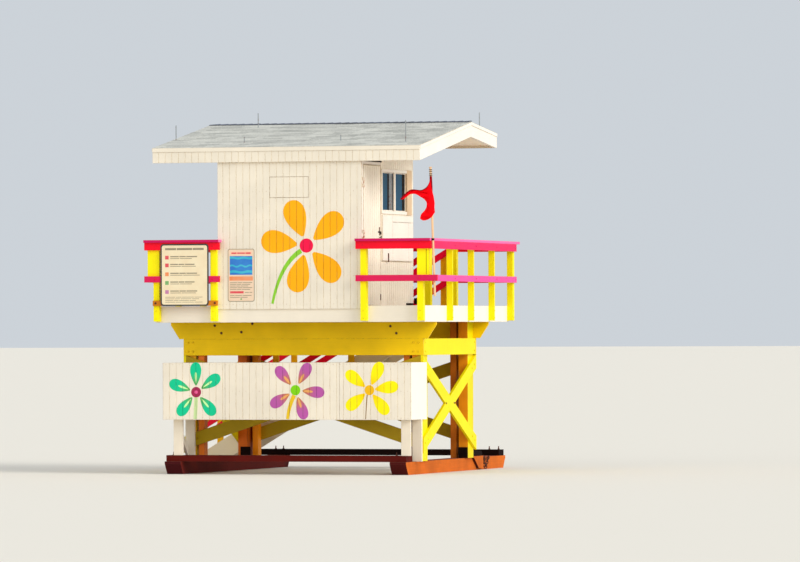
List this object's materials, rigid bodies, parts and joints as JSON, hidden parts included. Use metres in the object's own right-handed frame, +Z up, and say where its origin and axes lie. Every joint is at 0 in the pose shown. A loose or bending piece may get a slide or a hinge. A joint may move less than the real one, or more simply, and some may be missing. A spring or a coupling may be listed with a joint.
{
  "type": "lifeguard tower",
  "caption": "Timber beach lifeguard hut on a braced frame with skids, railed deck, rear stair, hinged door and board locker.",
  "frame": {"origin": "on the ground under the middle of the tower's overall box", "axes": "+X across the deck towards the door side, +Y away from the near wall towards the stair, +Z up"},
  "size_m": [4.869, 5.145, 5.2761],
  "materials": {
    "skid_timber": "weathered oxblood paint",
    "orange_post": "weathered orange paint",
    "yellow_frame": "weathered yellow paint",
    "joist_timber": "bare treated timber",
    "deck_timber": "worn bare boards",
    "white_trim": "satin white paint",
    "white_siding": "satin cream white paint on grooved panel",
    "yellow_post": "bright yellow paint",
    "red_rail": "red paint",
    "pink_rail": "pink paint",
    "window_glass": "clear float glass",
    "shingles": "grey mineral shingles",
    "soffit_board": "tan paint",
    "rod_steel": "dull galvanised",
    "hinge_steel": "salt-worn galvanised",
    "pole_wood": "varnished",
    "flag_cloth": "woven nylon",
    "sign_board": "satin enamel sheet"
  },
  "bodies": {
    "tower": {"left_skid": "skid_timber", "right_skid": "skid_timber", "near_cross_timber": "skid_timber", "far_cross_timber": "skid_timber", "near_left_posts": "orange_post", "near_right_posts": "orange_post", "far_left_posts": "orange_post", "far_right_posts": "orange_post", "near_lower_beam": "yellow_frame", "far_lower_beam": "yellow_frame", "side_lower_beams": "yellow_frame", "near_girder": "yellow_frame", "far_girder": "yellow_frame", "near_cross_brace": "yellow_frame", "far_cross_brace": "yellow_frame", "left_cross_brace": "yellow_frame", "right_cross_brace": "yellow_frame", "deck_joists": "joist_timber", "deck_floor": "deck_timber", "deck_fascias": "white_trim", "stair_stringers": "white_trim", "stair_treads": "deck_timber", "stair_rails": "red_rail", "stair_posts": "yellow_post", "rail_posts": "yellow_post", "near_rails": "red_rail", "left_rails": "pink_rail", "right_rails": "pink_rail", "far_rails": "red_rail", "rail_caps": "pink_rail", "near_wall": "white_siding", "far_wall": "white_siding", "left_wall": "white_siding", "right_wall": "white_siding", "door_side_walls": "white_siding", "frame_hinge_leaves": "hinge_steel", "window_casings": "white_trim", "window_glass": "window_glass", "drop_flap": "white_siding", "vent_hatch": "white_siding", "near_roof_slope": "shingles", "far_roof_slope": "shingles", "rafters": "joist_timber", "eave_boards": "white_trim", "bargeboards": "white_trim", "soffits": "soffit_board", "roof_rods": "rod_steel", "locker_front": "white_siding", "locker_back": "white_siding", "locker_ends": "white_siding", "locker_lid": "white_siding", "locker_floor": "white_siding", "locker_legs": "white_trim", "flag_pole": "pole_wood", "flag": "flag_cloth", "rail_sign": "sign_board", "wall_sign": "sign_board"},
    "door": {"door_leaf": "white_siding", "door_handle": "hinge_steel", "door_hinge_leaves": "hinge_steel"}
  },
  "joints": [
    {"name": "door_hinge", "type": "hinge", "parent": "tower", "child": "door", "pos_m": [1.2875, -2.3525, 3.435], "axis": [0, 0, -1], "range_deg": [0, 90]}
  ]
}
